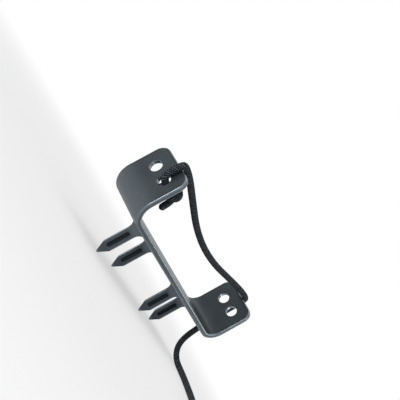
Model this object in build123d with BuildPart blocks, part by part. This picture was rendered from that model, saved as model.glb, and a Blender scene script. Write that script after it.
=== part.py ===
"""Instep ice cleat: a bent steel strip, four grooved spikes under it and the cord that ties it on.

Frame, in millimetres: +X runs across the shoe from the knotted ear to the other one, +Y towards
the heel, +Z up. The origin is on the ground under the middle of the plate, and the cleat stands
on its spike tips.
"""
import os
from math import asin, atan2, cos, hypot, pi, radians, sin, tan

from build123d import *

os.makedirs("parts", exist_ok=True)

# ---------------------------------------------------------------- driving sizes
# Strip
bracket_length = 106.0        # over the outside faces of the two ears
strip_width = 25.0
strip_thickness = 2.5
ear_height = 26.0             # underside of the plate to the free end of an ear
bend_inside_radius = 6.5
ear_corner_radius = 4.5       # at the free end, seen from the side of the shoe
edge_rounding = 0.6           # tumbled edges of the strip

# Lacing holes, two in each ear
lace_hole_diameter = 5.5
lace_hole_height = 18.0       # above the underside of the plate
lace_hole_spacing = 9.0
lace_hole_chamfer = 0.4

# Spikes: two staggered rows
spike_count = 4
spike_end_distance = 17.0     # outside of an ear to the nearest spike's middle
spike_row_offset = 5.0        # of each row from the strip's middle line
spike_turn = 45.0             # degrees between the flat of a spike and the strip's long edge
spike_length = 19.0           # underside of the plate to the tip
spike_width = 5.0
spike_thickness = 2.5
point_length = 4.8            # from the shoulders to the tip
spike_tip_radius = 0.5
spike_tip_thickness = 1.1
root_flare = 1.6              # the foot is wider than the blade by this much on each edge
root_swell = 1.1              # and thicker by this much on each flat
root_height = 3.0
blade_edge_rounding = 0.35

# Stiffening groove pressed into each flat of a spike
groove_top = 4.2              # below the plate
groove_end_distance = 0.3     # above the shoulders
groove_width = 1.9
groove_depth = 0.55

# Tenon that holds a spike in the plate, peened over at the top
tenon_width = 4.2
tenon_thickness = 2.0
tenon_clearance = 0.04        # on each side, in the slot
peened_head_height = 0.6      # the countersink, and the head that fills it, spread as much again

# Braided cord
cord_diameter = 3.0
hole_fold_radius = 3.0        # where it turns up the ear out of its hole
ear_fold_radius = 2.3         # where it is pulled tight over the edge of an ear
cord_seat_gap = 0.25          # between the cord and the ear's outer face
cord_over_edge_gap = 0.4      # between the cord and the free end of an ear
span_sag = 8.0                # of the cord between the ears
coil_half_turns = 4
coil_gap = 0.45               # between one turn and the next
coil_outer_radius = 20.2      # to the cord's middle, at the start of the outer turn
coil_end_offset = 4.7         # from the coil's middle to where a last, tighter half turn ends
coil_centre = (35.83, -70.03)
coil_start_angle = 110.0      # degrees, from +X; the coil winds in anticlockwise, seen from above
knot_radius = 4.6
knot_seat_radius = 3.7        # of the side pulled flat against the ear
knot_stand_off = 4.9          # from the ear to the knot's widest place
knot_tail_reach = 5.4         # of the loose end, from there
knot_tail_drop = 6.0
knot_tail_radius = 2.4
end_knot_reach = 5.4          # from the end of the coil to the middle of the knot in the cord's end
end_knot_tail_reach = 4.4
end_knot_tail_side = 6.0
end_knot_tail_lift = 0.2      # of the loose end, off the ground

# ---------------------------------------------------------------- places worked out from them
plate_under_z = spike_length
plate_top_z = plate_under_z + strip_thickness
ear_top_z = plate_under_z + ear_height
lace_hole_z = plate_under_z + lace_hole_height
ear_outside_x = bracket_length / 2
ear_middle_x = ear_outside_x - strip_thickness / 2
ear_inside_x = ear_outside_x - strip_thickness
cord_radius = cord_diameter / 2
knotted_hole_y = -lace_hole_spacing / 2

spike_shoulder = spike_length - point_length    # below the plate
groove_bottom = spike_shoulder - groove_end_distance
spike_pitch = (bracket_length - 2 * spike_end_distance) / (spike_count - 1)
spike_places = [
    ((place - (spike_count - 1) / 2) * spike_pitch, -spike_row_offset if place % 2 == 0 else spike_row_offset)
    for place in range(spike_count)
]
blade_direction = (cos(radians(spike_turn)), -sin(radians(spike_turn)), 0)
flat_normal = (-sin(radians(spike_turn)), -cos(radians(spike_turn)), 0)


def blade_plane(x, y):
    """Plane of a spike's middle: its own X along the blade's width, its own Y up, origin under the plate."""
    return Plane(origin=(x, y, plate_under_z), x_dir=blade_direction, z_dir=flat_normal)


def edge_plane(x, y):
    """Plane square to the blade: its own X through the blade's thickness, its own Y up."""
    return Plane(origin=(x, y, plate_under_z), x_dir=flat_normal, z_dir=tuple(-c for c in blade_direction))


def seat_plane(x, y, z):
    """Level plane turned with the blade, for a tenon and its slot."""
    return Plane(origin=(x, y, z), x_dir=blade_direction, z_dir=(0, 0, 1))


# ---------------------------------------------------------------- bracket
with BuildPart() as bracket:
    with BuildSketch(Plane.XZ):
        with BuildLine():
            FilletPolyline(
                (-ear_outside_x, ear_top_z),
                (-ear_outside_x, plate_under_z),
                (ear_outside_x, plate_under_z),
                (ear_outside_x, ear_top_z),
                radius=bend_inside_radius + strip_thickness,
            )
            offset(amount=strip_thickness, side=Side.LEFT)
        make_face()
    extrude(amount=strip_width / 2, both=True)
    fillet(bracket.edges().filter_by(Axis.X).group_by(Axis.Z)[-1], ear_corner_radius)

    # The rim is every edge of the strip's two faces; the lines where a bend begins are no edges.
    long_edges = bracket.edges().filter_by(lambda edge: edge.length > 1.01 * strip_thickness)
    across_edges = long_edges.filter_by(Axis.Y)
    rim = [edge for edge in long_edges if edge not in across_edges] + list(across_edges.group_by(Axis.Z)[-1])
    fillet(rim, edge_rounding)

    with BuildSketch(Plane.YZ):
        with Locations((0, lace_hole_z)), GridLocations(lace_hole_spacing, 0, 2, 1):
            Circle(lace_hole_diameter / 2)
    extrude(amount=bracket_length, both=True, mode=Mode.SUBTRACT)
    hole_rims = bracket.edges().filter_by(GeomType.CIRCLE).filter_by(
        lambda edge: abs(edge.radius - lace_hole_diameter / 2) < 1e-4
    )
    chamfer(hole_rims, lace_hole_chamfer)

    for spike_x, spike_y in spike_places:
        with BuildSketch(seat_plane(spike_x, spike_y, plate_under_z)):
            Rectangle(tenon_width + 2 * tenon_clearance, tenon_thickness + 2 * tenon_clearance)
        extrude(amount=strip_thickness, mode=Mode.SUBTRACT)
        with BuildSketch(seat_plane(spike_x, spike_y, plate_top_z)):
            Rectangle(tenon_width + 2 * peened_head_height, tenon_thickness + 2 * peened_head_height)
        with BuildSketch(seat_plane(spike_x, spike_y, plate_top_z - peened_head_height)):
            Rectangle(tenon_width, tenon_thickness)
        loft(mode=Mode.SUBTRACT)

# ---------------------------------------------------------------- spikes
# The side of the point runs from the shoulder to where it touches the round of the tip.
to_tip_middle = hypot(spike_width / 2, point_length - spike_tip_radius)
slope_to_tip_middle = atan2(spike_width / 2, point_length - spike_tip_radius)
point_half_angle = slope_to_tip_middle - asin(spike_tip_radius / to_tip_middle)
tip_touch = (
    spike_tip_radius * cos(point_half_angle),
    -spike_length + spike_tip_radius * (1 - sin(point_half_angle)),
)

spikes = []
for number, (spike_x, spike_y) in enumerate(spike_places, start=1):
    with BuildPart() as spike:
        # Outline of the flat: flared foot, parallel blade, rounded point
        with BuildSketch(blade_plane(spike_x, spike_y)):
            with BuildLine():
                half_width = spike_width / 2
                foot = TangentArc(
                    (half_width, -root_height), (half_width + root_flare, 0), tangent=(0, 1)
                )
                blade_side = Line(foot @ 0, (half_width, -spike_shoulder))
                point_side = Line(blade_side @ 1, tip_touch)
                ThreePointArc(tip_touch, (0, -spike_length), (-tip_touch[0], tip_touch[1]))
                Line((-tip_touch[0], tip_touch[1]), (-half_width, -spike_shoulder))
                Line((-half_width, -spike_shoulder), (-half_width, -root_height))
                TangentArc((-half_width, -root_height), (-half_width - root_flare, 0), tangent=(0, 1))
                Line((-half_width - root_flare, 0), (half_width + root_flare, 0))
            make_face()
        extrude(amount=spike_thickness / 2 + root_swell, both=True)

        # Outline of the edge: swollen foot, flats, and a point that thins to the tip
        with BuildSketch(edge_plane(spike_x, spike_y)):
            with BuildLine():
                half_thickness = spike_thickness / 2
                TangentArc((half_thickness, -root_height), (half_thickness + root_swell, 0), tangent=(0, 1))
                Polyline(
                    (half_thickness, -root_height),
                    (half_thickness, -spike_shoulder),
                    (spike_tip_thickness / 2, -spike_length),
                    (-spike_tip_thickness / 2, -spike_length),
                    (-half_thickness, -spike_shoulder),
                    (-half_thickness, -root_height),
                )
                TangentArc((-half_thickness, -root_height), (-half_thickness - root_swell, 0), tangent=(0, 1))
                Line((-half_thickness - root_swell, 0), (half_thickness + root_swell, 0))
            make_face()
        extrude(amount=spike_width / 2 + root_flare, both=True, mode=Mode.INTERSECT)

        corner_edges = spike.edges().filter_by(Axis.Z)
        fillet(corner_edges, blade_edge_rounding)

        # Groove in each flat: a round-ended channel cut by a rod that stands off the face
        rod_radius = (groove_width**2 / 4 + groove_depth**2) / (2 * groove_depth)
        for side in (1, -1):
            stand_off = side * (spike_thickness / 2 + rod_radius - groove_depth)
            top = -groove_top - rod_radius + groove_depth
            bottom = -groove_bottom + rod_radius - groove_depth
            with BuildSketch(edge_plane(spike_x, spike_y)):
                with BuildLine():
                    Line((stand_off, top + rod_radius), (stand_off, bottom - rod_radius))
                    ThreePointArc(
                        (stand_off, bottom - rod_radius),
                        (stand_off - side * rod_radius * sin(pi / 4), bottom - rod_radius * cos(pi / 4)),
                        (stand_off - side * rod_radius, bottom),
                    )
                    Line((stand_off - side * rod_radius, bottom), (stand_off - side * rod_radius, top))
                    ThreePointArc(
                        (stand_off - side * rod_radius, top),
                        (stand_off - side * rod_radius * sin(pi / 4), top + rod_radius * cos(pi / 4)),
                        (stand_off, top + rod_radius),
                    )
                make_face()
            rod_foot = edge_plane(spike_x, spike_y).from_local_coords((stand_off, 0, 0))
            revolve(axis=Axis(rod_foot, (0, 0, 1)), mode=Mode.SUBTRACT)

        # Tenon through the plate and its peened head
        with BuildSketch(seat_plane(spike_x, spike_y, plate_under_z)):
            Rectangle(tenon_width, tenon_thickness)
        extrude(amount=strip_thickness)
        with BuildSketch(seat_plane(spike_x, spike_y, plate_top_z)):
            Rectangle(tenon_width + 2 * peened_head_height, tenon_thickness + 2 * peened_head_height)
        with BuildSketch(seat_plane(spike_x, spike_y, plate_top_z - peened_head_height)):
            Rectangle(tenon_width, tenon_thickness)
        loft()
    spike.part.label = f"spike_{number}"
    spikes.append(spike.part)

# ---------------------------------------------------------------- stopper knot inside the near ear
knot_middle_x = -ear_inside_x + knot_stand_off
with BuildPart() as cord_knot:
    with BuildSketch(Plane.XZ.offset(-knotted_hole_y)):
        with BuildLine():
            seat_edge = (-ear_inside_x, lace_hole_z + knot_seat_radius)
            widest = (knot_middle_x, lace_hole_z + knot_radius)
            far_end = (knot_middle_x + knot_radius, lace_hole_z)
            Line((-ear_inside_x, lace_hole_z), seat_edge)
            TangentArc(widest, seat_edge, tangent=(-1, 0))
            RadiusArc(widest, far_end, knot_radius)
            Line(far_end, (-ear_inside_x, lace_hole_z))
        make_face()
    revolve(axis=Axis((0, knotted_hole_y, lace_hole_z), (1, 0, 0)))
    tail_x = knot_middle_x + knot_tail_reach
    with BuildLine() as tail_path:
        FilletPolyline(
            (knot_middle_x, knotted_hole_y, lace_hole_z),
            (tail_x, knotted_hole_y, lace_hole_z),
            (tail_x, knotted_hole_y, lace_hole_z - knot_tail_drop),
            radius=knot_tail_radius,
        )
    with BuildSketch(Plane(origin=(knot_middle_x, knotted_hole_y, lace_hole_z), z_dir=(1, 0, 0))):
        Circle(cord_radius)
    sweep(path=tail_path)

# ---------------------------------------------------------------- cord, from the knot to the coil
cord_outside_x = ear_outside_x + cord_radius + cord_seat_gap
cord_over_z = ear_top_z + cord_radius + cord_over_edge_gap
coil_side = Vector(cos(radians(coil_start_angle)), sin(radians(coil_start_angle)))
coil_heading = Vector(-coil_side.Y, coil_side.X)
coil_start = Vector(*coil_centre, cord_radius) + coil_side * coil_outer_radius
coil_entry = coil_start - coil_heading * cord_diameter
span_half = ear_middle_x


def span_point(x, y):
    """A point of the cord that sags between the two ears, stiff enough to leave them nearly level."""
    return (x, y, cord_over_z - span_sag * (1 - (x / span_half) ** 2) ** 1.5)


cord_points = [
    (-ear_inside_x, knotted_hole_y, lace_hole_z),
    (-cord_outside_x, knotted_hole_y, lace_hole_z),
    (-cord_outside_x, knotted_hole_y, cord_over_z),
    span_point(-45.6, -4.2),
    span_point(-31.0, -3.0),
    span_point(-15.4, -1.9),
    span_point(0.6, -1.0),
    span_point(16.4, -0.3),
    span_point(31.6, 0.1),
    span_point(45.4, 0.1),
    (cord_outside_x, 0.0, cord_over_z),
    (cord_outside_x + 0.1, 0.0, 33.4),
    (cord_outside_x + 0.6, -0.3, 19.6),
    (cord_outside_x + 1.3, -1.6, 7.2),
    (cord_outside_x + 2.2, -8.0, cord_radius),
    (cord_outside_x + 0.8, -20.0, cord_radius),
    (cord_outside_x - 4.2, -31.2, cord_radius),
    (cord_outside_x - 10.2, -41.2, cord_radius),
    tuple(coil_entry - coil_heading * 8.0),
    tuple(coil_entry),
]
folds = {1: hole_fold_radius, 2: ear_fold_radius, 10: ear_fold_radius}

radii = []
for corner in range(1, len(cord_points) - 1):
    run_in = Vector(*cord_points[corner]) - Vector(*cord_points[corner - 1])
    run_out = Vector(*cord_points[corner + 1]) - Vector(*cord_points[corner])
    turn = run_in.get_angle(run_out)
    largest = 0.45 * min(run_in.length, run_out.length) / tan(radians(turn) / 2)
    radii.append(folds.get(corner, largest))
    print(
        f"cord corner {corner}: runs {run_in.length:.1f} and {run_out.length:.1f}, "
        f"turn {turn:.1f} deg, radius {radii[-1]:.1f}"
    )

with BuildPart() as cord_run:
    with BuildLine() as cord_path:
        FilletPolyline(*cord_points, radius=radii)
    with BuildSketch(Plane(origin=cord_points[0], z_dir=(-1, 0, 0))):
        Circle(cord_radius)
    sweep()

# ---------------------------------------------------------------- coil on the ground
turn_step = (cord_diameter + coil_gap) / 2      # each half turn is tighter than the last by this
half_turn_radii = [coil_outer_radius - half_turn * turn_step for half_turn in range(coil_half_turns)]
curl_radius = (coil_outer_radius - coil_half_turns * turn_step + coil_end_offset) / 2
with BuildPart() as cord_coil:
    with BuildLine() as coil_path:
        Line(coil_entry, coil_start)
        for half_turn_radius in [*half_turn_radii, curl_radius]:
            last = coil_path.edges()[-1]
            JernArc(start=last @ 1, tangent=last % 1, radius=half_turn_radius, arc_size=180)
    with BuildSketch(Plane(origin=coil_entry, z_dir=coil_heading)):
        Circle(cord_radius)
    sweep()

# ---------------------------------------------------------------- knot in the cord's end, inside the coil
coil_end = coil_path.edges()[-1] @ 1
end_heading = coil_path.edges()[-1] % 1
end_side = Vector(-end_heading.Y, end_heading.X)
end_knot_middle = coil_end + end_heading * end_knot_reach + Vector(0, 0, knot_radius - cord_radius)
tail_corner = end_knot_middle + end_heading * end_knot_tail_reach
tail_fall = end_knot_middle.Z - cord_radius - end_knot_tail_lift
with BuildPart() as cord_end_knot:
    with BuildLine() as neck_path:
        TangentArc(coil_end, end_knot_middle, tangent=end_heading)
    with BuildSketch(Plane(origin=coil_end, z_dir=end_heading)):
        Circle(cord_radius)
    sweep(path=neck_path)
    with BuildLine() as end_tail_path:
        FilletPolyline(
            end_knot_middle,
            tail_corner,
            tail_corner + end_side * end_knot_tail_side - Vector(0, 0, tail_fall),
            radius=knot_tail_radius,
        )
    with BuildSketch(Plane(origin=end_knot_middle, z_dir=end_heading)):
        Circle(cord_radius)
    sweep(path=end_tail_path)
    with Locations(end_knot_middle):
        Sphere(knot_radius)

# ---------------------------------------------------------------- what the cord measures
run_length = cord_path.wires()[0].length
coil_wire = coil_path.wires()[0]
coil_length = coil_wire.length
section = pi * cord_radius**2
print(f"cord {run_length:.1f} + coil {coil_length:.1f} = {run_length + coil_length:.1f} mm")
print(f"cord volume {cord_run.part.volume:.1f}, section x length {section * run_length:.1f}")
print(f"coil volume {cord_coil.part.volume:.1f}, section x length {section * coil_length:.1f}")
samples = [coil_wire @ (step / 600) for step in range(601)]
along = coil_length / 600
least = min(
    (samples[first] - samples[second]).length
    for first in range(0, 601, 3)
    for second in range(first + int(30 / along), 601)
)
print(f"coil's least gap to itself {least - cord_diameter:.2f} mm")
to_knot = min((sample - end_knot_middle).length for sample in samples[: -int(20 / along)])
print(f"end knot clears the turns round it by {to_knot - cord_radius - knot_radius:.2f} mm")

# ---------------------------------------------------------------- write the pieces
bracket.part.label = "bracket"
cord_knot.part.label = "cord_knot"
cord_run.part.label = "cord_run"
cord_coil.part.label = "cord_coil"
cord_end_knot.part.label = "cord_end_knot"
for piece in [bracket.part, *spikes, cord_knot.part, cord_run.part, cord_coil.part, cord_end_knot.part]:
    export_step(piece, f"parts/{piece.label}.step")
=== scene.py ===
"""Instep ice cleat: a bent steel strip, four grooved spikes and the braided cord that ties it on.

Metres, in the part's own frame: +X runs across the shoe from the knotted ear to the plain one,
+Y towards the heel, +Z up. The cleat stands on its spike tips.
"""
import math

import bpy
import numpy as np
from bpy.props import FloatProperty, FloatVectorProperty, IntProperty, PointerProperty
from mathutils import Matrix, Vector


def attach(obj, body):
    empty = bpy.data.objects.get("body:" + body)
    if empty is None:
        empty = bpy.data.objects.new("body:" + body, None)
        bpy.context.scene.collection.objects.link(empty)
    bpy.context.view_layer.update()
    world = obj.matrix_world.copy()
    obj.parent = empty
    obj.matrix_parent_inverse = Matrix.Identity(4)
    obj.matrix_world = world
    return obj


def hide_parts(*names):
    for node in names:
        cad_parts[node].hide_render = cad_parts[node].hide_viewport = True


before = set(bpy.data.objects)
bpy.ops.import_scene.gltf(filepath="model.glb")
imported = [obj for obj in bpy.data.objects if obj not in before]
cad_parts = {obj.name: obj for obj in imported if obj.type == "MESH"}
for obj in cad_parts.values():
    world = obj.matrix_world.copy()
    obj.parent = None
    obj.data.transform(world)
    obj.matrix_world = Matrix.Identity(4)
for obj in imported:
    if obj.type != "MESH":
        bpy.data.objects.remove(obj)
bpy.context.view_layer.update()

bl_info = {
    "name": "Instep ice cleat",
    "version": (1, 0, 0),
    "blender": (4, 5, 0),
    "location": "3D View > Sidebar > Cleat",
    "description": "Finishes, braided cord and stage for a tie-on ice cleat",
    "category": "Object",
}

MM = 0.001
BODY = "root"

# ---------------------------------------------------------------- sizes of the steel pieces
STRIP_HALF_WIDTH = 12.5 * MM
STRIP_HALF_THICKNESS = 1.25 * MM
EDGE_ROUNDING = 0.6 * MM
EAR_TOP = 45.0 * MM
EAR_CORNER_RADIUS = 4.5 * MM
BEND_MIDDLE_RADIUS = 7.75 * MM
BEND_CENTRE = (44.0 * MM, 28.0 * MM)      # of the bend by the plain ear, along X and Z
PLATE_UNDER = 19.0 * MM
HOLE_HEIGHT = 37.0 * MM
HOLE_SPACING = 9.0 * MM
HOLE_RADIUS = 2.75 * MM
SPIKE_PLACES = {
    "spike_1": (-36.0 * MM, -5.0 * MM),
    "spike_2": (-12.0 * MM, 5.0 * MM),
    "spike_3": (12.0 * MM, -5.0 * MM),
    "spike_4": (36.0 * MM, 5.0 * MM),
}
SPIKE_TURN = math.radians(45)
SPIKE_HALF_WIDTH = 2.5 * MM
SPIKE_HALF_THICKNESS = 1.25 * MM
BLADE_ROUNDING = 0.35 * MM
SHOULDER_HEIGHT = 4.8 * MM
GROOVE_DEPTH = 0.55 * MM
HEAD_HALF_WIDTH = 2.7 * MM
HEAD_HALF_THICKNESS = 1.6 * MM
HEAD_LEVEL = 21.2 * MM                      # above this height a spike's surface is its peened head
# The middle of a rounding lies this many radii from its two faces, both distances added
ROUNDING_SHARE = 0.586

# ---------------------------------------------------------------- where the steel's effects start and end
STRIP_RUB_AND_HIGHLIGHT = 0.75 * MM                       # widths of the bands of bare steel, from the edge; these bands are partly painted highlight
HOLE_RUB_AND_HIGHLIGHT = 0.55 * MM
BLADE_RUB_AND_HIGHLIGHT = 0.6 * MM
POINT_RUB_AND_HIGHLIGHT = 3.2 * MM                        # height of the scraped point of bare steel and painted highlight, from the ground
# painted shade: a dark line of shade and dark reflection along the ears' edges
SHADE_LINE_STARTS = (0.42 * MM, 0.62 * MM)  # in from the edge of an ear
SHADE_LINE_ENDS = (1.15 * MM, 0.80 * MM)
GROOVE_SIDE = (1.15 * MM, 0.95 * MM)        # out from the blade's middle line
HEAD_SEAM = (0.24 * MM, 0.06 * MM)          # in from the edge of a peened head
FOOT_TONE = (PLATE_UNDER - 4.5 * MM, PLATE_UNDER - 1.5 * MM)
BLADE_RUB_AND_HIGHLIGHT_FADES = (PLATE_UNDER - 3.4 * MM, PLATE_UNDER - 2.6 * MM)
GROOVE_TOP = (PLATE_UNDER - 3.6 * MM, PLATE_UNDER - 4.0 * MM)
GROOVE_FOOT = (SHOULDER_HEIGHT - 0.1 * MM, SHOULDER_HEIGHT + 0.3 * MM)

# ---------------------------------------------------------------- the cord's route, in millimetres
GROUND_HEIGHT = 1.52                        # of the middle of a cord that lies on the ground
CORD_EXIT = (-50.5, -4.5, 37.0)
CORD_ROUTE = [
    CORD_EXIT,
    (-54.85, -4.5, 37.0),
    (-54.85, -4.4, 45.4),
    (-53.4, -4.35, 46.85),
    (-45.6, -4.2, 46.05),
    (-31.0, -3.0, 43.1),
    (-15.4, -1.9, 40.0),
    (0.6, -1.0, 38.9),
    (16.4, -0.3, 40.05),
    (31.6, 0.1, 43.2),
    (45.4, 0.1, 46.0),
    (53.4, 0.0, 46.85),
    (54.85, 0.0, 45.4),
    (54.85, 0.0, 33.4),
    (55.35, -0.3, 19.6),
    (56.05, -1.6, 7.2),
    (56.95, -8.0, GROUND_HEIGHT),
    (55.55, -20.0, GROUND_HEIGHT),
    (50.55, -31.2, GROUND_HEIGHT),
    (44.55, -41.2, GROUND_HEIGHT),
    (39.26, -47.29, GROUND_HEIGHT),
    (31.74, -50.02, GROUND_HEIGHT),
]
COIL_CENTRE = (35.83, -70.03)
COIL_TURNS = 2
COIL_POINTS_PER_TURN = 14
COIL_START = 110.0                          # degrees round from +X
COIL_OUTER_RADIUS = 20.2
COIL_PITCH = 3.45
COIL_END_OFFSET = 4.7                       # from the coil's middle to where its last, tighter half turn ends

# An overhand knot drawn tight, about its own middle: standing part in from -X, tail out to +X
KNOT_MIDDLE = (-45.6, -4.5, 37.0)
KNOT_LEAD = [(-6.0, 0.0, 0.0)]              # inside the cord's braid, in the hole, so that no seam is open
KNOT_TURNS = [
    (-4.9, 0.0, 0.0), (-4.0, 0.3, 0.0), (-2.1, 0.3, -0.3), (-0.7, -0.5, -1.4), (0.65, -1.9, -1.45),
    (2.1, -2.75, -0.2), (3.2, -2.35, 1.4), (3.5, -0.9, 2.8), (3.1, 1.0, 3.2), (2.0, 2.55, 2.5),
    (0.7, 3.1, 1.0), (-0.5, 3.1, -0.6), (-1.7, 2.85, -2.15), (-2.9, 1.4, -3.1), (-3.45, -0.4, -3.0),
    (-3.35, -2.05, -1.85), (-2.4, -2.8, -0.2), (-1.0, -2.3, 1.2), (0.4, -0.9, 1.55), (1.65, 0.2, 0.5),
]
KNOT_TAIL = [(3.4, 0.45, 0.0), (4.9, 0.4, -0.5), (5.7, 0.3, -2.1), (5.8, 0.1, -4.2), (5.6, -0.2, -6.0)]

# The same knot in the cord's end, a quarter turn over, with its tail out to the side and down to the ground
END_KNOT_REACH = 5.4                        # from the coil's end to the knot's middle
END_KNOT_HEIGHT = 4.6
END_KNOT_START = 2                          # the point of its route where the cord's braid ends
END_KNOT_TAIL = [(3.3, 0.2, 0.2), (4.5, 0.7, 0.0), (5.0, 2.2, -0.5), (4.9, 4.3, -1.7), (4.7, 6.2, -2.7)]

# ---------------------------------------------------------------- tones, as shares of a setting's colour
STEEL_CLOUD_DARK = 0.72
STEEL_CLOUD_LIGHT = 1.32
# painted shade for the strip's edge line and the spikes' grooves; also the dark seams round the peened heads
STEEL_SHADE_AND_SEAM = 0.27
# painted highlight round the strip's bends; the same share pales a spike's foot and its head's hammer marks
PALE_AND_HIGHLIGHT_SHARE = 0.55
# painted shade in the braid's hollows and painted highlight on its crests
YARN_HOLLOW_SHADE = 0.12
YARN_CREST_HIGHLIGHT = 6.0

# ---------------------------------------------------------------- stage: places in metres, and the camera
LAMPS = {                                   # place and size of each
    "key": ((-0.55, -0.03, 0.05), (0.14, 0.09)),
    "fill": ((0.75, -0.55, 0.22), (0.4, 0.35)),
    "top": ((-0.1, 0.25, 1.1), (1.0, 1.0)),
}
LAMPS_POINT_AT = Vector((0, 0, 0.03))
SENSOR_WIDTH = 36.0                         # millimetres
PICTURE_WIDTH = 400                         # pixels
FOCAL_LENGTH = 691.04                       # pixels
CAMERA_PLACE = (-0.24103, -0.1915, 0.03008)
CAMERA_RIGHT = Vector((0.28286, -0.39088, 0.8759))
CAMERA_UP = Vector((-0.60648, 0.63459, 0.47904))
FLOOR_FADE = (0.10, 0.32)                   # distances over which the floor turns to white


# ---------------------------------------------------------------- settings
class CleatSteelSettings(bpy.types.PropertyGroup):
    """Finish of the strip and the spikes."""

    strip_colour: FloatVectorProperty(
        name="Strip colour", description="Base colour of the hardened strip",
        subtype="COLOR", size=4, min=0, max=1, default=(0.042, 0.054, 0.060, 1),
    )
    spike_colour: FloatVectorProperty(
        name="Spike colour", description="Base colour of the spikes",
        subtype="COLOR", size=4, min=0, max=1, default=(0.056, 0.071, 0.083, 1),
    )
    # bare steel's colour, also used for the painted highlights along the edges and round the strip's bends
    rubbed_and_highlight_colour: FloatVectorProperty(
        name="Rubbed and highlight colour", description="Steel that shows where an edge is rubbed",
        subtype="COLOR", size=4, min=0, max=1, default=(0.17, 0.20, 0.23, 1),
    )
    roughness: FloatProperty(
        name="Roughness", description="How satin the finish is", min=0, max=1, default=0.40,
    )


class CleatCordSettings(bpy.types.PropertyGroup):
    """Make of the braided cord."""

    diameter: FloatProperty(
        name="Diameter", description="Over the braid", unit="LENGTH", min=0.001, max=0.01, default=3.0 * MM,
    )
    strands_each_way: IntProperty(
        name="Strands each way", description="Strands that wind one way, as many as wind the other",
        min=4, max=16, default=6,
    )
    strand_pitch: FloatProperty(
        name="Strand pitch", description="Length of cord in which a strand goes round once",
        unit="LENGTH", min=0.004, max=0.03, default=5.6 * MM,
    )
    relief: FloatProperty(
        name="Relief", description="How far a strand stands out of the hollow beside it",
        unit="LENGTH", min=0, max=0.001, default=0.22 * MM,
    )
    colour: FloatVectorProperty(
        name="Colour", description="Colour of the yarn",
        subtype="COLOR", size=4, min=0, max=1, default=(0.022, 0.025, 0.028, 1),
    )


class CleatStageSettings(bpy.types.PropertyGroup):
    """Floor, light and camera."""

    floor_size: FloatProperty(
        name="Floor size", description="Side of the floor", unit="LENGTH", min=1, max=50, default=12.0,
    )
    key_power: FloatProperty(
        name="Key light", description="Power of the soft light beside the knotted ear",
        subtype="POWER", min=0, max=200, default=1.0,
    )
    fill_power: FloatProperty(
        name="Fill light", description="Power of the soft light before the toe side",
        subtype="POWER", min=0, max=200, default=1.9,
    )
    top_power: FloatProperty(
        name="Top light", description="Power of the soft light overhead",
        subtype="POWER", min=0, max=200, default=4.0,
    )


# ---------------------------------------------------------------- shader helpers
def node(tree, kind, **settings):
    """Adds a node. Settings that name one of its inputs set that input, and the others its own options."""
    new = tree.nodes.new(kind)
    for key, value in settings.items():
        if key in new.inputs:
            new.inputs[key].default_value = value
        else:
            setattr(new, key, value)
    return new


def number(tree, operation, a, b=None, c=None, clamp=False):
    """A Math node on up to three numbers or sockets, and its result."""
    new = node(tree, "ShaderNodeMath", operation=operation, use_clamp=clamp)
    for place, value in enumerate((a, b, c)):
        if isinstance(value, bpy.types.NodeSocket):
            tree.links.new(value, new.inputs[place])
        elif value is not None:
            new.inputs[place].default_value = value
    return new.outputs[0]


def ramp(tree, value, start, end, low=0.0, high=1.0):
    """Smooth step of a value from low at start to high at end."""
    new = node(tree, "ShaderNodeMapRange", interpolation_type="SMOOTHSTEP")
    tree.links.new(value, new.inputs["Value"])
    for name, setting in zip(("From Min", "From Max", "To Min", "To Max"), (start, end, low, high)):
        new.inputs[name].default_value = setting
    return new.outputs["Result"]


def blend_colours(tree, mask, a, b):
    """Colour a where the mask is 0 and b where it is 1."""
    new = node(tree, "ShaderNodeMix", data_type="RGBA")
    tree.links.new(mask, new.inputs["Factor"])
    for socket, value in zip((new.inputs[6], new.inputs[7]), (a, b)):
        if isinstance(value, bpy.types.NodeSocket):
            tree.links.new(value, socket)
        else:
            socket.default_value = value
    return new.outputs[2]


def new_group(name, inputs, outputs):
    """An empty shader node group with the named number, vector or colour sockets."""
    tree = bpy.data.node_groups.new(name, "ShaderNodeTree")
    for direction, sockets in (("INPUT", inputs), ("OUTPUT", outputs)):
        for socket_name, kind in sockets.items():
            tree.interface.new_socket(socket_name, in_out=direction, socket_type="NodeSocket" + kind)
    return tree, tree.nodes.new("NodeGroupInput"), tree.nodes.new("NodeGroupOutput")


def place_group(tree, group, **values):
    """Puts a node group into a material with its own values or links."""
    new = node(tree, "ShaderNodeGroup")
    new.node_tree = group
    for name, value in values.items():
        socket = new.inputs[name.replace("_", " ")]
        if isinstance(value, bpy.types.NodeSocket):
            tree.links.new(value, socket)
        else:
            socket.default_value = value
    return new


def new_material(name):
    """A material with its Principled shader, and that shader's tree."""
    material = bpy.data.materials.new(name)
    material.use_nodes = True
    return material, material.node_tree, material.node_tree.nodes["Principled BSDF"]


def shaded(colour, share):
    """The colour made darker or lighter by a share, at most white, and opaque."""
    return tuple(min(1.0, c * share) for c in colour[:3]) + (1,)


# ---------------------------------------------------------------- shared effects
def rubbed_edge_and_highlight_group():
    """Mask of bare steel from wear at an edge, which is partly a painted highlight there: full at an edge,
    gone at Width from it, and broken up by noise.
    """
    tree, given, result = new_group(
        "rubbed edge", {"Position": "Vector", "Distance": "Float", "Width": "Float"}, {"Mask": "Float"}
    )
    patches = node(tree, "ShaderNodeTexNoise", Scale=420.0, Detail=4.0, Roughness=0.65)
    tree.links.new(given.outputs["Position"], patches.inputs["Vector"])
    nearness = number(tree, "DIVIDE", given.outputs["Distance"], given.outputs["Width"])
    nearness = number(tree, "SUBTRACT", 1.0, nearness, clamp=True)
    broken = number(tree, "MULTIPLY_ADD", patches.outputs["Fac"], 1.1, -0.55)
    mask = number(tree, "ADD", nearness, broken)
    tree.links.new(ramp(tree, number(tree, "MULTIPLY", mask, nearness), 0.15, 0.85), result.inputs["Mask"])
    return tree


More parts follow.
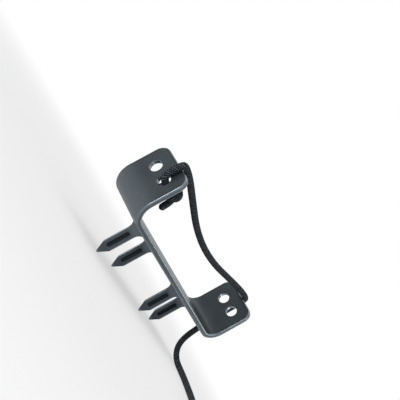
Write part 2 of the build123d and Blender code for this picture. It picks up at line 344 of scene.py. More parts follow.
def satin_grain_group():
    """Cloudy tone, fine roughness and a fine orange-peel height of a hardened, oiled steel skin."""
    tree, given, result = new_group(
        "satin grain", {"Position": "Vector"}, {"Tone": "Float", "Roughness": "Float", "Height": "Float"}
    )
    clouds = node(tree, "ShaderNodeTexNoise", Scale=65.0, Detail=5.0, Roughness=0.55)
    grain = node(tree, "ShaderNodeTexNoise", Scale=2600.0, Detail=3.0, Roughness=0.6)
    rolling = node(tree, "ShaderNodeTexNoise", Scale=900.0, Detail=2.0, Roughness=0.5)
    stretch = node(tree, "ShaderNodeMapping", Scale=(0.12, 1.0, 1.0))
    for texture in (clouds, grain):
        tree.links.new(given.outputs["Position"], texture.inputs["Vector"])
    tree.links.new(given.outputs["Position"], stretch.inputs["Vector"])
    tree.links.new(stretch.outputs["Vector"], rolling.inputs["Vector"])
    tone = number(tree, "MULTIPLY_ADD", clouds.outputs["Fac"], 0.9, -0.45)
    tone = number(tree, "MULTIPLY_ADD", rolling.outputs["Fac"], 0.35, number(tree, "ADD", tone, -0.175))
    tree.links.new(tone, result.inputs["Tone"])
    tree.links.new(number(tree, "MULTIPLY_ADD", grain.outputs["Fac"], 0.5, -0.25), result.inputs["Roughness"])
    height = number(tree, "MULTIPLY_ADD", rolling.outputs["Fac"], 0.6, grain.outputs["Fac"])
    tree.links.new(height, result.inputs["Height"])
    return tree


def shared_group(name, make):
    """The named node group, made the first time it is asked for."""
    return bpy.data.node_groups.get(name) or make()


def steel_finish(name, colour, rubbed, roughness, edge_masks, shade, pale):
    """Satin blue-grey steel. edge_masks, shade and pale are functions of (tree, position) that give
    sockets: a list of (distance to an edge, width of its band of bare steel and painted highlight), a dark
    mask of painted shade and dark seams, and a pale mask of painted highlight and paler steel."""
    material, tree, shader = new_material(name)
    position = node(tree, "ShaderNodeTexCoord").outputs["Object"]
    grain = place_group(tree, shared_group("satin grain", satin_grain_group), Position=position)
    tone = grain.outputs["Tone"]
    dark, light = shaded(colour, STEEL_CLOUD_DARK), shaded(colour, STEEL_CLOUD_LIGHT)
    paint = blend_colours(tree, ramp(tree, tone, -0.5, 0.5), dark, light)
    edge_wear_and_highlight = shared_group("rubbed edge", rubbed_edge_and_highlight_group)
    rub_and_highlight = None
    # bands of bare steel from wear along the edges, which are partly painted highlight
    for distance, width in edge_masks(tree, position):
        edge = place_group(tree, edge_wear_and_highlight, Position=position, Distance=distance, Width=width)
        mask = edge.outputs["Mask"]
        rub_and_highlight = mask if rub_and_highlight is None else number(tree, "MAXIMUM", rub_and_highlight, mask)
    pale_and_highlight = tuple(c * (1 - PALE_AND_HIGHLIGHT_SHARE) + r * PALE_AND_HIGHLIGHT_SHARE for c, r in zip(colour, rubbed))
    # pale mask: painted highlight round the strip's bends; on a spike, its paler foot and the hammer marks on
    # its head
    paint = blend_colours(tree, pale(tree, position), paint, pale_and_highlight)
    # the colour of bare steel here also serves as painted highlight along the edges
    base = blend_colours(tree, rub_and_highlight, paint, tuple(rubbed))
    rough = number(tree, "MULTIPLY_ADD", grain.outputs["Roughness"], 0.22, roughness)
    rough = number(tree, "MULTIPLY_ADD", rub_and_highlight, -0.08, rough)
    # dark mask: painted shade, and on a spike also the dark seam round its head
    shade_and_seam = shade(tree, position)
    base = blend_colours(tree, shade_and_seam, base, shaded(colour, STEEL_SHADE_AND_SEAM))
    rough = number(tree, "MULTIPLY_ADD", shade_and_seam, 0.3, rough)
    tree.links.new(base, shader.inputs["Base Color"])
    tree.links.new(number(tree, "MULTIPLY_ADD", rub_and_highlight, 0.25, 0.55, clamp=True), shader.inputs["Metallic"])
    tree.links.new(rough, shader.inputs["Roughness"])
    shader.inputs["Specular IOR Level"].default_value = 0.3
    bump = node(tree, "ShaderNodeBump", Strength=0.25, Distance=0.02 * MM)
    tree.links.new(grain.outputs["Height"], bump.inputs["Height"])
    tree.links.new(bump.outputs["Normal"], shader.inputs["Normal"])
    return material


def corner_distance(tree, across, up, start_across, start_up):
    """Length from (start_across, start_up) to (across, up), counting only what lies beyond that start."""
    wide = number(tree, "MAXIMUM", number(tree, "SUBTRACT", across, start_across), 0.0)
    high = number(tree, "MAXIMUM", number(tree, "SUBTRACT", up, start_up), 0.0)
    squares = number(tree, "MULTIPLY_ADD", wide, wide, number(tree, "MULTIPLY", high, high))
    return number(tree, "SQRT", squares)


def strip_axes(tree, position):
    """Where a point lies on the strip: in from its outline, through its thickness from the middle,
    out from the rim of the nearest lacing hole, and its height."""
    axes = node(tree, "ShaderNodeSeparateXYZ")
    tree.links.new(position, axes.inputs[0])
    across = number(tree, "ABSOLUTE", axes.outputs["Y"])
    height = axes.outputs["Z"]
    inward = number(
        tree, "SUBTRACT", EAR_CORNER_RADIUS,
        corner_distance(
            tree, across, height, STRIP_HALF_WIDTH - EAR_CORNER_RADIUS, EAR_TOP - EAR_CORNER_RADIUS
        ),
    )
    along = number(tree, "ABSOLUTE", axes.outputs["X"])
    outward = corner_distance(
        tree, along, number(tree, "MULTIPLY", height, -1.0), BEND_CENTRE[0], -BEND_CENTRE[1]
    )
    through = number(tree, "SUBTRACT", outward, BEND_MIDDLE_RADIUS)
    hole_across = number(tree, "SUBTRACT", across, HOLE_SPACING / 2)
    hole_up = number(tree, "SUBTRACT", height, HOLE_HEIGHT)
    squares = number(tree, "MULTIPLY", hole_up, hole_up)
    squares = number(tree, "MULTIPLY_ADD", hole_across, hole_across, squares)
    from_hole = number(tree, "SUBTRACT", number(tree, "SQRT", squares), HOLE_RADIUS)
    past_side = number(tree, "SUBTRACT", across, STRIP_HALF_WIDTH - EAR_CORNER_RADIUS)
    past_top = number(tree, "SUBTRACT", height, EAR_TOP - EAR_CORNER_RADIUS)
    round_corner = number(tree, "MINIMUM", past_side, past_top)
    return inward, through, from_hole, height, round_corner


def strip_edges(tree, position):
    """Distances from the strip's rounded corners and from the chamfers of its lacing holes."""
    inward, through, from_hole, _, round_corner = strip_axes(tree, position)
    deep = number(tree, "SUBTRACT", STRIP_HALF_THICKNESS, number(tree, "ABSOLUTE", through))
    corner = number(tree, "ADD", inward, number(tree, "MAXIMUM", deep, 0.0))
    corner = number(tree, "SUBTRACT", corner, ROUNDING_SHARE * EDGE_ROUNDING)
    # painted highlight: the band of bare steel widens round the ear's rounded top corners
    corner = number(tree, "SUBTRACT", corner, ramp(tree, round_corner, 0.3 * MM, 2.0 * MM, 0, 0.4 * MM))
    return [(corner, STRIP_RUB_AND_HIGHLIGHT), (number(tree, "ABSOLUTE", from_hole), HOLE_RUB_AND_HIGHLIGHT)]


def strip_edge_shade_line(tree, position):
    """Mask of a painted dark line of shade and dark reflection in each face, just inside the sheared edge of
    an ear.
    """
    inward, through, _, height, _ = strip_axes(tree, position)
    line = number(
        tree, "MULTIPLY", ramp(tree, inward, *SHADE_LINE_STARTS), ramp(tree, inward, *SHADE_LINE_ENDS)
    )
    face = ramp(tree, number(tree, "ABSOLUTE", through), 0.9 * MM, 1.15 * MM)
    on_ear = ramp(tree, height, BEND_CENTRE[1] - 3 * MM, BEND_CENTRE[1] + 1 * MM)
    shown = number(tree, "MULTIPLY", on_ear, 0.75)
    return number(tree, "MULTIPLY", number(tree, "MULTIPLY", line, face), shown)


def strip_bend_highlight(tree, position):
    """Mask of a painted highlight: paler colour outside the lower part of each bend, near the strip's ends.
    """
    _, through, _, height, _ = strip_axes(tree, position)
    outside = ramp(tree, through, 0.2 * MM, 1.1 * MM)
    lower = ramp(tree, height, BEND_CENTRE[1] + 5 * MM, BEND_CENTRE[1] - 7 * MM)
    bent = number(tree, "MULTIPLY", outside, lower)
    axes = node(tree, "ShaderNodeSeparateXYZ")
    tree.links.new(position, axes.inputs[0])
    near_bend = ramp(tree, number(tree, "ABSOLUTE", axes.outputs["X"]), 39 * MM, 46 * MM)
    return number(tree, "MULTIPLY", bent, near_bend)


def blade_axes(tree, position, place):
    """How far a point of a spike lies across the blade, through its thickness, and above the ground."""
    local = node(tree, "ShaderNodeVectorMath", operation="SUBTRACT")
    local.inputs[1].default_value = (place[0], place[1], 0)
    tree.links.new(position, local.inputs[0])
    found = []
    for direction in (
        (math.cos(SPIKE_TURN), -math.sin(SPIKE_TURN), 0),
        (-math.sin(SPIKE_TURN), -math.cos(SPIKE_TURN), 0),
        (0, 0, 1),
    ):
        along = node(tree, "ShaderNodeVectorMath", operation="DOT_PRODUCT")
        along.inputs[1].default_value = direction
        tree.links.new(local.outputs["Vector"], along.inputs[0])
        found.append(along.outputs["Value"])
    return number(tree, "ABSOLUTE", found[0]), number(tree, "ABSOLUTE", found[1]), found[2]


def spike_edges(place):
    """Edge distances of one spike: the blade's long corners and its point."""

    def measure(tree, position):
        across, through, up = blade_axes(tree, position, place)
        from_edge = number(tree, "MAXIMUM", number(tree, "SUBTRACT", SPIKE_HALF_WIDTH, across), 0.0)
        from_face = number(tree, "MAXIMUM", number(tree, "SUBTRACT", SPIKE_HALF_THICKNESS, through), 0.0)
        both = number(tree, "ADD", from_edge, from_face)
        corner = number(tree, "SUBTRACT", both, ROUNDING_SHARE * BLADE_ROUNDING)
        corner = number(tree, "ADD", corner, ramp(tree, up, *BLADE_RUB_AND_HIGHLIGHT_FADES, 0, MM))
        return [(corner, BLADE_RUB_AND_HIGHLIGHT), (up, POINT_RUB_AND_HIGHLIGHT)]

    return measure


def on_spike_head(tree, up):
    """Mask of a spike's peened head, by height."""
    return ramp(tree, up, HEAD_LEVEL - 0.05 * MM, HEAD_LEVEL + 0.05 * MM)


def spike_foot(place):
    """Mask of one spike's paler foot, where it was seated in the plate, and of its head's hammer marks."""

    def measure(tree, position):
        _, _, up = blade_axes(tree, position, place)
        foot = ramp(tree, up, *FOOT_TONE)
        blows = node(tree, "ShaderNodeTexVoronoi", feature="SMOOTH_F1", Scale=780.0, Smoothness=0.6)
        tree.links.new(position, blows.inputs["Vector"])
        marked = ramp(tree, blows.outputs["Distance"], 0.1, 0.75, 0.9, 0.25)
        on_head = on_spike_head(tree, up)
        kept = number(tree, "SUBTRACT", 1.0, on_head)
        return number(tree, "MULTIPLY_ADD", foot, kept, number(tree, "MULTIPLY", on_head, marked))

    return measure


def spike_groove_shade_and_seam(place):
    """Mask of one spike's dark places: painted shade in the groove in each flat, deep, near the middle line
    and above the shoulders, and the dark seam round its peened head."""

    def measure(tree, position):
        across, through, up = blade_axes(tree, position, place)
        sunk = number(tree, "SUBTRACT", SPIKE_HALF_THICKNESS, through)
        deep = ramp(tree, sunk, 0.03 * MM, 0.6 * GROOVE_DEPTH)
        inside = ramp(tree, across, *GROOVE_SIDE)
        between = number(tree, "MULTIPLY", ramp(tree, up, *GROOVE_FOOT), ramp(tree, up, *GROOVE_TOP))
        groove = number(tree, "MULTIPLY", number(tree, "MULTIPLY", deep, inside), between)
        from_side = number(tree, "SUBTRACT", HEAD_HALF_WIDTH, across)
        from_flat = number(tree, "SUBTRACT", HEAD_HALF_THICKNESS, through)
        seam = ramp(tree, number(tree, "MINIMUM", from_side, from_flat), *HEAD_SEAM)
        return number(tree, "MAXIMUM", groove, number(tree, "MULTIPLY", seam, on_spike_head(tree, up)))

    return measure


def braid_finish(colour):
    """Near-black yarn, with painted highlight on its strands' crests and painted shade in the hollows between
    them. The UV map counts strands: U those that wind one way and V the others.
    """
    material, tree, shader = new_material("braided yarn")
    counts = node(tree, "ShaderNodeUVMap", uv_map="strands")
    split = node(tree, "ShaderNodeSeparateXYZ")
    tree.links.new(counts.outputs["UV"], split.inputs[0])
    one_way, other_way = split.outputs["X"], split.outputs["Y"]
    turn = number(tree, "ADD", number(tree, "FLOOR", one_way), number(tree, "FLOOR", other_way))
    on_top = number(tree, "LESS_THAN", number(tree, "FLOORED_MODULO", turn, 4.0), 2.0)

    def chosen(from_one, from_other):
        """The first value where a strand of the first kind is on top, and the second elsewhere."""
        mixed = node(tree, "ShaderNodeMix")
        tree.links.new(on_top, mixed.inputs["Factor"])
        tree.links.new(from_other, mixed.inputs[2])
        tree.links.new(from_one, mixed.inputs[3])
        return mixed.outputs[0]

    across = chosen(one_way, other_way)
    crest = number(tree, "SINE", number(tree, "MULTIPLY", number(tree, "FRACT", across), math.pi))
    yarns = number(tree, "SINE", number(tree, "MULTIPLY", across, 2 * math.pi * 5))
    yarns = number(tree, "MULTIPLY_ADD", yarns, 0.5, 0.5)
    fibres = node(tree, "ShaderNodeTexNoise", Scale=9000.0, Detail=3.0, Roughness=0.7)
    tree.links.new(node(tree, "ShaderNodeTexCoord").outputs["Object"], fibres.inputs["Vector"])
    set_share = number(tree, "MULTIPLY", on_top, 0.37)
    strand = number(tree, "MULTIPLY_ADD", number(tree, "FLOOR", across), 0.618, set_share)
    strand = number(tree, "FRACT", strand)
    yarn_tone = number(tree, "MULTIPLY_ADD", yarns, 0.35, 0.65)
    strand_tone = number(tree, "MULTIPLY_ADD", strand, 0.6, 0.5)
    fibre_tone = number(tree, "MULTIPLY_ADD", fibres.outputs["Fac"], 0.8, 0.55)
    # painted light: each strand lighter towards its crest, and a little darker between its yarns
    tone = number(tree, "MULTIPLY", number(tree, "POWER", crest, 2.6), yarn_tone)
    tone = number(tree, "MULTIPLY", tone, strand_tone)
    tone = number(tree, "MULTIPLY", tone, fibre_tone, clamp=True)
    paint = blend_colours(tree, tone, shaded(colour, YARN_HOLLOW_SHADE), shaded(colour, YARN_CREST_HIGHLIGHT))
    tree.links.new(paint, shader.inputs["Base Color"])
    tree.links.new(number(tree, "MULTIPLY_ADD", tone, -0.2, 0.78), shader.inputs["Roughness"])
    height = number(tree, "MULTIPLY_ADD", yarns, 0.5, number(tree, "MULTIPLY", fibres.outputs["Fac"], 0.5))
    bump = node(tree, "ShaderNodeBump", Strength=0.55, Distance=0.05 * MM)
    tree.links.new(height, bump.inputs["Height"])
    tree.links.new(bump.outputs["Normal"], shader.inputs["Normal"])
    shader.inputs["Specular IOR Level"].default_value = 0.05
    shader.inputs["Sheen Weight"].default_value = 0.02
    shader.inputs["Sheen Roughness"].default_value = 0.45
    shader.inputs["Sheen Tint"].default_value = (0.55, 0.62, 0.68, 1)
    return material


def melted_finish():
    """Yarn melted to a hard, glossy black bead where the cord was cut hot."""
    material, tree, shader = new_material("melted yarn")
    lumps = node(tree, "ShaderNodeTexNoise", Scale=1500.0, Detail=2.0)
    tree.links.new(node(tree, "ShaderNodeTexCoord").outputs["Object"], lumps.inputs["Vector"])
    tree.links.new(ramp(tree, lumps.outputs["Fac"], 0.3, 0.7, 0.22, 0.5), shader.inputs["Roughness"])
    bump = node(tree, "ShaderNodeBump", Strength=0.6, Distance=0.1 * MM)
    tree.links.new(lumps.outputs["Fac"], bump.inputs["Height"])
    tree.links.new(bump.outputs["Normal"], shader.inputs["Normal"])
    shader.inputs["Base Color"].default_value = (0.012, 0.012, 0.013, 1)
    return material


# ---------------------------------------------------------------- mesh helpers
def put_mesh(name, points, faces, material, strands=None):
    """A smooth-shaded object at the origin from an array of points and one of faces.
    strands holds a UV pair for each corner of each face, in the faces' order."""
    mesh = bpy.data.meshes.new(name)
    sides = faces.shape[1]
    mesh.vertices.add(len(points))
    mesh.vertices.foreach_set("co", np.asarray(points, np.float32).ravel())
    mesh.loops.add(faces.size)
    mesh.loops.foreach_set("vertex_index", faces.astype(np.int32).ravel())
    mesh.polygons.add(len(faces))
    mesh.polygons.foreach_set("loop_start", np.arange(0, faces.size, sides, dtype=np.int32))
    mesh.polygons.foreach_set("use_smooth", np.ones(len(faces), bool))
    if strands is not None:
        layer = mesh.uv_layers.new(name="strands")
        layer.data.foreach_set("uv", np.asarray(strands, np.float32).ravel())
    mesh.materials.append(material)
    mesh.update(calc_edges=True)
    mesh.validate()
    piece = bpy.data.objects.new(name, mesh)
    bpy.context.scene.collection.objects.link(piece)
    return piece


def smooth_line(route):
    """Points of the NURBS curve whose control points are the route's, in metres."""
    curve = bpy.data.curves.new("route", "CURVE")
    curve.dimensions = "3D"
    curve.resolution_u = 24
    spline = curve.splines.new("NURBS")
    spline.points.add(len(route) - 1)
    for point, place in zip(spline.points, route):
        point.co = (place[0] * MM, place[1] * MM, place[2] * MM, 1)
    spline.order_u = 3
    spline.use_endpoint_u = True
    holder = bpy.data.objects.new("route", curve)
    bpy.context.scene.collection.objects.link(holder)
    bpy.context.view_layer.update()
    line = bpy.data.meshes.new_from_object(holder)
    points = np.empty(3 * len(line.vertices))
    line.vertices.foreach_get("co", points)
    bpy.data.objects.remove(holder)
    bpy.data.curves.remove(curve)
    bpy.data.meshes.remove(line)
    return points.reshape(-1, 3)


def even_steps(line, step):
    """The line's points again, an even step apart."""
    along = np.r_[0, np.cumsum(np.linalg.norm(np.diff(line, axis=0), axis=1))]
    places = np.linspace(0, along[-1], max(4, int(round(along[-1] / step)) + 1))
    return np.stack([np.interp(places, along, line[:, axis]) for axis in range(3)], axis=1)


def carried_frames(line):
    """Directions beside and over each point of a line, carried on from ring to ring without twist."""
    along = np.gradient(line, axis=0)
    along /= np.linalg.norm(along, axis=1, keepdims=True)
    over = np.empty_like(line)
    start = np.cross(along[0], (0.0, 1.0, 0.0))
    over[0] = start / np.linalg.norm(start)
    for ring in range(1, len(line)):
        carried = over[ring - 1] - along[ring] * np.dot(over[ring - 1], along[ring])
        over[ring] = carried / np.linalg.norm(carried)
    return np.cross(along, over), over


def braided_tube(name, line, settings, material):
    """A tubular braid round a line.

    Two sets of strands wind round the cord. With N strands each way and pitch P, the count of a strand
    of the first set at angle t and length s is a = N (t / 2 pi - s / P), and of the second
    b = N (t / 2 pi + s / P). Each strand is crowned across its width and goes over two of the
    other set and under two. The points lie on a staggered grid whose diagonals run along the
    strands, three to a strand's width, so every strand's edge falls on edges of the mesh.
    """
    strands, pitch = settings.strands_each_way, settings.strand_pitch
    fine = 3
    columns = strands * fine
    line = even_steps(line, pitch / (2 * columns))
    beside, over = carried_frames(line)
    rows = len(line)
    row, column = np.meshgrid(np.arange(rows), np.arange(columns), indexing="ij")
    first = column - row // 2
    second = column + (row + 1) // 2
    angle = 2 * math.pi * (column + 0.5 * (row % 2)) / columns

    def strand_height(own, other, sign):
        """Crown across the strand, and its rise and fall as it passes over two and under two."""
        crown = np.sin(math.pi * (own % fine) / fine) ** 0.7
        weave = sign * np.sin(0.5 * math.pi * (other / fine + own // fine))
        return 0.62 * crown + 0.38 * weave

    height = np.maximum(strand_height(first, second, 1), strand_height(second, first, -1))
    radius = settings.diameter / 2 + settings.relief * (height - 0.75)
    points = (
        line[:, None, :]
        + (radius * np.cos(angle))[:, :, None] * over[:, None, :]
        + (radius * np.sin(angle))[:, :, None] * beside[:, None, :]
    ).reshape(-1, 3)

    # One diamond for each point of every row but the last two
    low_row, low_column = np.meshgrid(np.arange(rows - 2), np.arange(columns), indexing="ij")
    low_row, low_column = low_row.ravel(), low_column.ravel()
    odd = low_row % 2
    corners = [
        (low_row, low_column),
        (low_row + 1, low_column + odd),
        (low_row + 2, low_column),
        (low_row + 1, low_column - 1 + odd),
    ]
    faces = np.stack([r * columns + c % columns for r, c in corners], axis=1)
    counts = np.stack(
        [np.stack([(c - r // 2) / fine, (c + (r + 1) // 2) / fine], axis=-1) for r, c in corners], axis=1
    )
    return put_mesh(name, points, faces, material, counts.reshape(-1, 2)), line


def melted_end(name, line, radius, material):
    """A rounded bead on a line's cut end: a half-egg of revolution about the line's last direction.

    At lift u, from 0 to 1, it reaches r (1.25 u - 0.55) past the end and is r cos(pi c / 2)^0.6 wide, where
    c = 1.25 u - 0.25 and never below 0. Round the end, sines of three and five turns make it lumpy.
    """
    at, pointing = line[-1], line[-1] - line[-3]
    turn, lift = np.meshgrid(np.linspace(0, 2 * math.pi, 33)[:-1], np.linspace(0, 1, 12), indexing="ij")
    pointing = pointing / np.linalg.norm(pointing)
    beside = np.cross(pointing, (0.0, 0.0, 1.0) if abs(pointing[2]) < 0.9 else (1.0, 0.0, 0.0))
    beside /= np.linalg.norm(beside)
    over = np.cross(pointing, beside)
    swell = radius * np.cos(0.5 * math.pi * np.clip(lift * 1.25 - 0.25, 0, 1)) ** 0.6
    swell = swell * (1 + 0.03 * np.sin(3 * turn + 1.0) + 0.02 * np.sin(5 * turn)) + 1e-6
    reach = radius * (1.25 * lift - 0.55)
    points = (
        np.asarray(at)
        + (swell * np.cos(turn))[:, :, None] * beside
        + (swell * np.sin(turn))[:, :, None] * over
        + reach[:, :, None] * pointing
    )
    around, up = lift.shape
    i, j = np.meshgrid(np.arange(around), np.arange(up - 1), indexing="ij")
    i, j = i.ravel(), j.ravel()
    here, there = i * up + j, (i + 1) % around * up + j
    faces = np.stack([here, there, there + 1, here + 1], axis=1)
    return put_mesh(name, points.reshape(-1, 3), faces, material)


def coil_end():
    """Place and direction of the cord where its last half turn ends, across the coil from its start."""
    clock = math.radians(COIL_START)
    side = np.array([math.cos(clock), math.sin(clock), 0.0])
    place = np.array([*COIL_CENTRE, GROUND_HEIGHT]) - COIL_END_OFFSET * side
    return place, np.array([side[1], -side[0], 0.0])


def around_middle(middle, radius, clock):
    """Points of a flat curve of that radius about a middle, at those angles."""
    return middle + np.asarray(radius)[..., None] * np.stack([np.cos(clock), np.sin(clock)], axis=1)


def coil_points():
    """Control points of the coil: a flat spiral from its outer turn in, and a tighter half turn.

    The solid's half turns have their middles a quarter of a pitch to either side of the spiral's, whose
    radius is R + P / 4 - P n after n turns. The last half turn ends COIL_END_OFFSET beyond the
    coil's middle, and rises there to the middle of the knot. The curve runs inside its control points,
    so they lie further out by 1 / cos(pi / k) with k of them to a turn.
    """
    start = math.radians(COIL_START)
    side = np.array([math.cos(start), math.sin(start)])
    stretch = 1 / math.cos(math.pi / COIL_POINTS_PER_TURN)
    turned = np.arange(1, COIL_POINTS_PER_TURN * COIL_TURNS + 1) / COIL_POINTS_PER_TURN
    radius = COIL_OUTER_RADIUS + COIL_PITCH / 4 - COIL_PITCH * turned
    middle = np.array(COIL_CENTRE) - COIL_PITCH / 4 * side
    turns = around_middle(middle, stretch * radius, start + 2 * math.pi * turned)
    inner_end = COIL_OUTER_RADIUS - COIL_PITCH * COIL_TURNS
    curl_radius = (inner_end + COIL_END_OFFSET) / 2
    turned = np.arange(1, COIL_POINTS_PER_TURN // 2) / COIL_POINTS_PER_TURN
    middle = np.array(COIL_CENTRE) + (inner_end - curl_radius) * side
    curl = around_middle(middle, stretch * curl_radius, start + 2 * math.pi * turned)
    flat = np.concatenate([turns, curl])
    rise = np.clip((np.arange(len(flat)) - len(turns) - 2) / (len(curl) - 1), 0, 1)
    height = GROUND_HEIGHT + (END_KNOT_HEIGHT - GROUND_HEIGHT) * rise * rise * (3 - 2 * rise)
    return [(x, y, z) for (x, y), z in zip(flat, height)]


def end_knot_route():
    """The knot's route set down on the ground at the cord's end, a quarter turn over about its own length."""
    end, ahead = coil_end()
    left = np.array([-ahead[1], ahead[0], 0.0])
    middle = end + END_KNOT_REACH * ahead
    middle[2] = END_KNOT_HEIGHT
    turned_over = [(x, -z, y) for x, y, z in KNOT_TURNS] + END_KNOT_TAIL
    return [tuple(middle + x * ahead + y * left + (0.0, 0.0, z)) for x, y, z in turned_over]


def cord_materials(settings):
    """The braid's yarn and the melted yarn of its cut ends, made the first time they are asked for."""
    yarn = bpy.data.materials.get("braided yarn") or braid_finish(settings.colour)
    return yarn, bpy.data.materials.get("melted yarn") or melted_finish()


def place_braid(*pieces):
    """Says that pieces of the braid ride on the cleat's one body."""
    for piece in pieces:
        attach(piece, BODY)


# ---------------------------------------------------------------- operators
class CLEAT_OT_finish_strip(bpy.types.Operator):
    """Give the bent strip its satin steel finish"""

    bl_idname = "cleat.finish_strip"
    bl_label = "Finish the strip"

    def execute(self, context):
        steel = context.scene.cleat_steel
        finish = steel_finish(
            "strip steel", steel.strip_colour, steel.rubbed_and_highlight_colour, steel.roughness,
            strip_edges, strip_edge_shade_line, strip_bend_highlight,
        )
        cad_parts["bracket"].data.materials.clear()
        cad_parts["bracket"].data.materials.append(finish)
        return {"FINISHED"}


class CLEAT_OT_finish_spikes(bpy.types.Operator):
    """Give each spike its finish, with painted shade in the grooves, and scraped, bare steel that is partly
    painted highlight along its corners and at the point
    """

    bl_idname = "cleat.finish_spikes"
    bl_label = "Finish the spikes"

    def execute(self, context):
        steel = context.scene.cleat_steel
        for name, place in SPIKE_PLACES.items():
            finish = steel_finish(
                name + " steel", steel.spike_colour, steel.rubbed_and_highlight_colour, steel.roughness + 0.04,
                spike_edges(place), spike_groove_shade_and_seam(place), spike_foot(place),
            )
            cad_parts[name].data.materials.clear()
            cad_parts[name].data.materials.append(finish)
        return {"FINISHED"}


class CLEAT_OT_lay_cord(bpy.types.Operator):
    """Braid the cord from the ear's knot over both ears to its coil on the ground and the knot in its end"""

    bl_idname = "cleat.lay_cord"
    bl_label = "Lay the cord"

    def execute(self, context):
        settings = context.scene.cleat_cord
        yarn, melted = cord_materials(settings)
        knot_route = end_knot_route()
        route = CORD_ROUTE + coil_points() + knot_route[:END_KNOT_START + 1]
        tube, line = braided_tube("cord", smooth_line(route), settings, yarn)
        knot, knot_line = braided_tube("end_knot", smooth_line(knot_route[END_KNOT_START:]), settings, yarn)
        bead = melted_end("cord_end", knot_line, settings.diameter / 2, melted)
        place_braid(tube, knot, bead)
        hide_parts("cord_run", "cord_coil")
        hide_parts("cord_end_knot")
        return {"FINISHED"}


class CLEAT_OT_tie_knot(bpy.types.Operator):
    """Tie the overhand knot that stops the cord inside the near ear"""

    bl_idname = "cleat.tie_knot"
    bl_label = "Tie the stopper knot"

    def execute(self, context):
        settings = context.scene.cleat_cord
        yarn, melted = cord_materials(settings)
        route = [np.add(KNOT_MIDDLE, point) for point in KNOT_LEAD + KNOT_TURNS + KNOT_TAIL]
        knot, line = braided_tube("stopper_knot", smooth_line(route), settings, yarn)
        bead = melted_end("knot_end", line, settings.diameter / 2, melted)
        place_braid(knot, bead)
        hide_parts("cord_knot")
        return {"FINISHED"}


class CLEAT_OT_set_stage(bpy.types.Operator):
    """Set the pale floor, the soft light and the camera"""

    bl_idname = "cleat.set_stage"
    bl_label = "Set the stage"

    def execute(self, context):
        scene, stage = context.scene, context.scene.cleat_stage
        half = stage.floor_size / 2
        corners = np.array([(-half, -half, 0), (half, -half, 0), (half, half, 0), (-half, half, 0)])
        floor = put_mesh("floor", corners, np.array([[0, 1, 2, 3]]), floor_finish())
        set_world(scene)
        for name, (place, size) in LAMPS.items():
            lamp = bpy.data.lights.new(name, "AREA")
            lamp.shape = "RECTANGLE"
            lamp.size, lamp.size_y = size
            lamp.energy = getattr(stage, name + "_power")
            holder = bpy.data.objects.new(name, lamp)
            holder.location = place
            facing = LAMPS_POINT_AT - Vector(place)
            holder.rotation_euler = facing.to_track_quat("-Z", "Y").to_euler()
            scene.collection.objects.link(holder)
        camera = bpy.data.cameras.new("camera")
        camera.sensor_width = SENSOR_WIDTH
        camera.lens = SENSOR_WIDTH * FOCAL_LENGTH / PICTURE_WIDTH
        camera.clip_start, camera.clip_end = 0.01, 50
        holder = bpy.data.objects.new("camera", camera)
        turn = Matrix((CAMERA_RIGHT, CAMERA_UP, CAMERA_RIGHT.cross(CAMERA_UP))).transposed()
        holder.matrix_world = Matrix.Translation(CAMERA_PLACE) @ turn.to_4x4()
        scene.collection.objects.link(holder)
        scene.camera = holder
        scene.view_settings.view_transform = "Standard"
        return {"FINISHED"}


def seen_directly(tree):
    """1 for rays from the camera, in reflections and through glass, and 0 for the light on things."""
    rays = node(tree, "ShaderNodeLightPath")
    seen = number(tree, "MAXIMUM", rays.outputs["Is Camera Ray"], rays.outputs["Is Glossy Ray"])
    return number(tree, "MAXIMUM", seen, rays.outputs["Is Transmission Ray"])


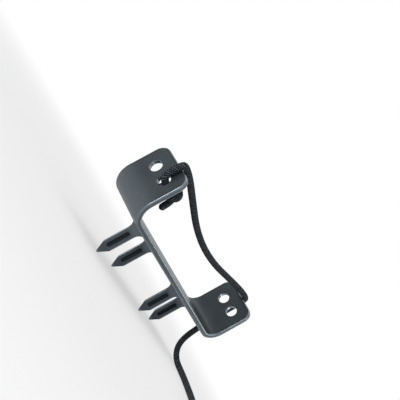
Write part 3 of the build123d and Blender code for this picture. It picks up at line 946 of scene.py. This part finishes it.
def floor_finish():
    """Pale floor. It has light of its own where it is seen, more and more away from the cleat,
    so that it runs into the white behind it."""
    material, tree, shader = new_material("pale floor")
    shader.inputs["Base Color"].default_value = (0.86, 0.86, 0.86, 1)
    shader.inputs["Roughness"].default_value = 0.9
    shader.inputs["Specular IOR Level"].default_value = 0.0
    light = node(tree, "ShaderNodeEmission", Strength=1.0)
    light.inputs["Color"].default_value = (1, 1, 1, 1)
    away = node(tree, "ShaderNodeVectorMath", operation="LENGTH")
    tree.links.new(node(tree, "ShaderNodeTexCoord").outputs["Object"], away.inputs[0])
    share = ramp(tree, away.outputs["Value"], *FLOOR_FADE, 0.5, 1.0)
    mix = node(tree, "ShaderNodeMixShader")
    tree.links.new(number(tree, "MULTIPLY", seen_directly(tree), share), mix.inputs["Fac"])
    tree.links.new(shader.outputs["BSDF"], mix.inputs[1])
    tree.links.new(light.outputs["Emission"], mix.inputs[2])
    tree.links.new(mix.outputs["Shader"], tree.nodes["Material Output"].inputs["Surface"])
    return material


def set_world(scene):
    """White behind the object and in its reflections, and a softer grey light on it."""
    world = bpy.data.worlds.new("studio")
    world.use_nodes = True
    tree = world.node_tree
    background = tree.nodes["Background"]
    background.inputs["Color"].default_value = (1, 1, 1, 1)
    tree.links.new(number(tree, "MULTIPLY_ADD", seen_directly(tree), 0.5, 0.5), background.inputs["Strength"])
    scene.world = world


class CLEAT_PT_panel(bpy.types.Panel):
    """Lists the steps that dress the cleat"""

    bl_idname = "CLEAT_PT_panel"
    bl_label = "Ice cleat"
    bl_space_type = "VIEW_3D"
    bl_region_type = "UI"
    bl_category = "Cleat"

    def draw(self, context):
        for settings, operators in (
            (context.scene.cleat_steel, (CLEAT_OT_finish_strip, CLEAT_OT_finish_spikes)),
            (context.scene.cleat_cord, (CLEAT_OT_tie_knot, CLEAT_OT_lay_cord)),
            (context.scene.cleat_stage, (CLEAT_OT_set_stage,)),
        ):
            box = self.layout.box()
            for name in type(settings).__annotations__:
                box.prop(settings, name)
            for operator in operators:
                box.operator(operator.bl_idname)


SETTINGS = {
    "cleat_steel": CleatSteelSettings,
    "cleat_cord": CleatCordSettings,
    "cleat_stage": CleatStageSettings,
}
CLASSES = (
    *SETTINGS.values(),
    CLEAT_OT_finish_strip,
    CLEAT_OT_finish_spikes,
    CLEAT_OT_lay_cord,
    CLEAT_OT_tie_knot,
    CLEAT_OT_set_stage,
    CLEAT_PT_panel,
)


def register():
    for each in CLASSES:
        bpy.utils.register_class(each)
    for name, group in SETTINGS.items():
        setattr(bpy.types.Scene, name, PointerProperty(type=group))


def unregister():
    for name in SETTINGS:
        delattr(bpy.types.Scene, name)
    for each in reversed(CLASSES):
        bpy.utils.unregister_class(each)


def main():
    """Dresses the cleat piece by piece."""
    register()
    bpy.ops.cleat.finish_strip()
    bpy.ops.cleat.finish_spikes()
    bpy.ops.cleat.tie_knot()
    bpy.ops.cleat.lay_cord()
    bpy.ops.cleat.set_stage()


if __name__ == "__main__":
    main()
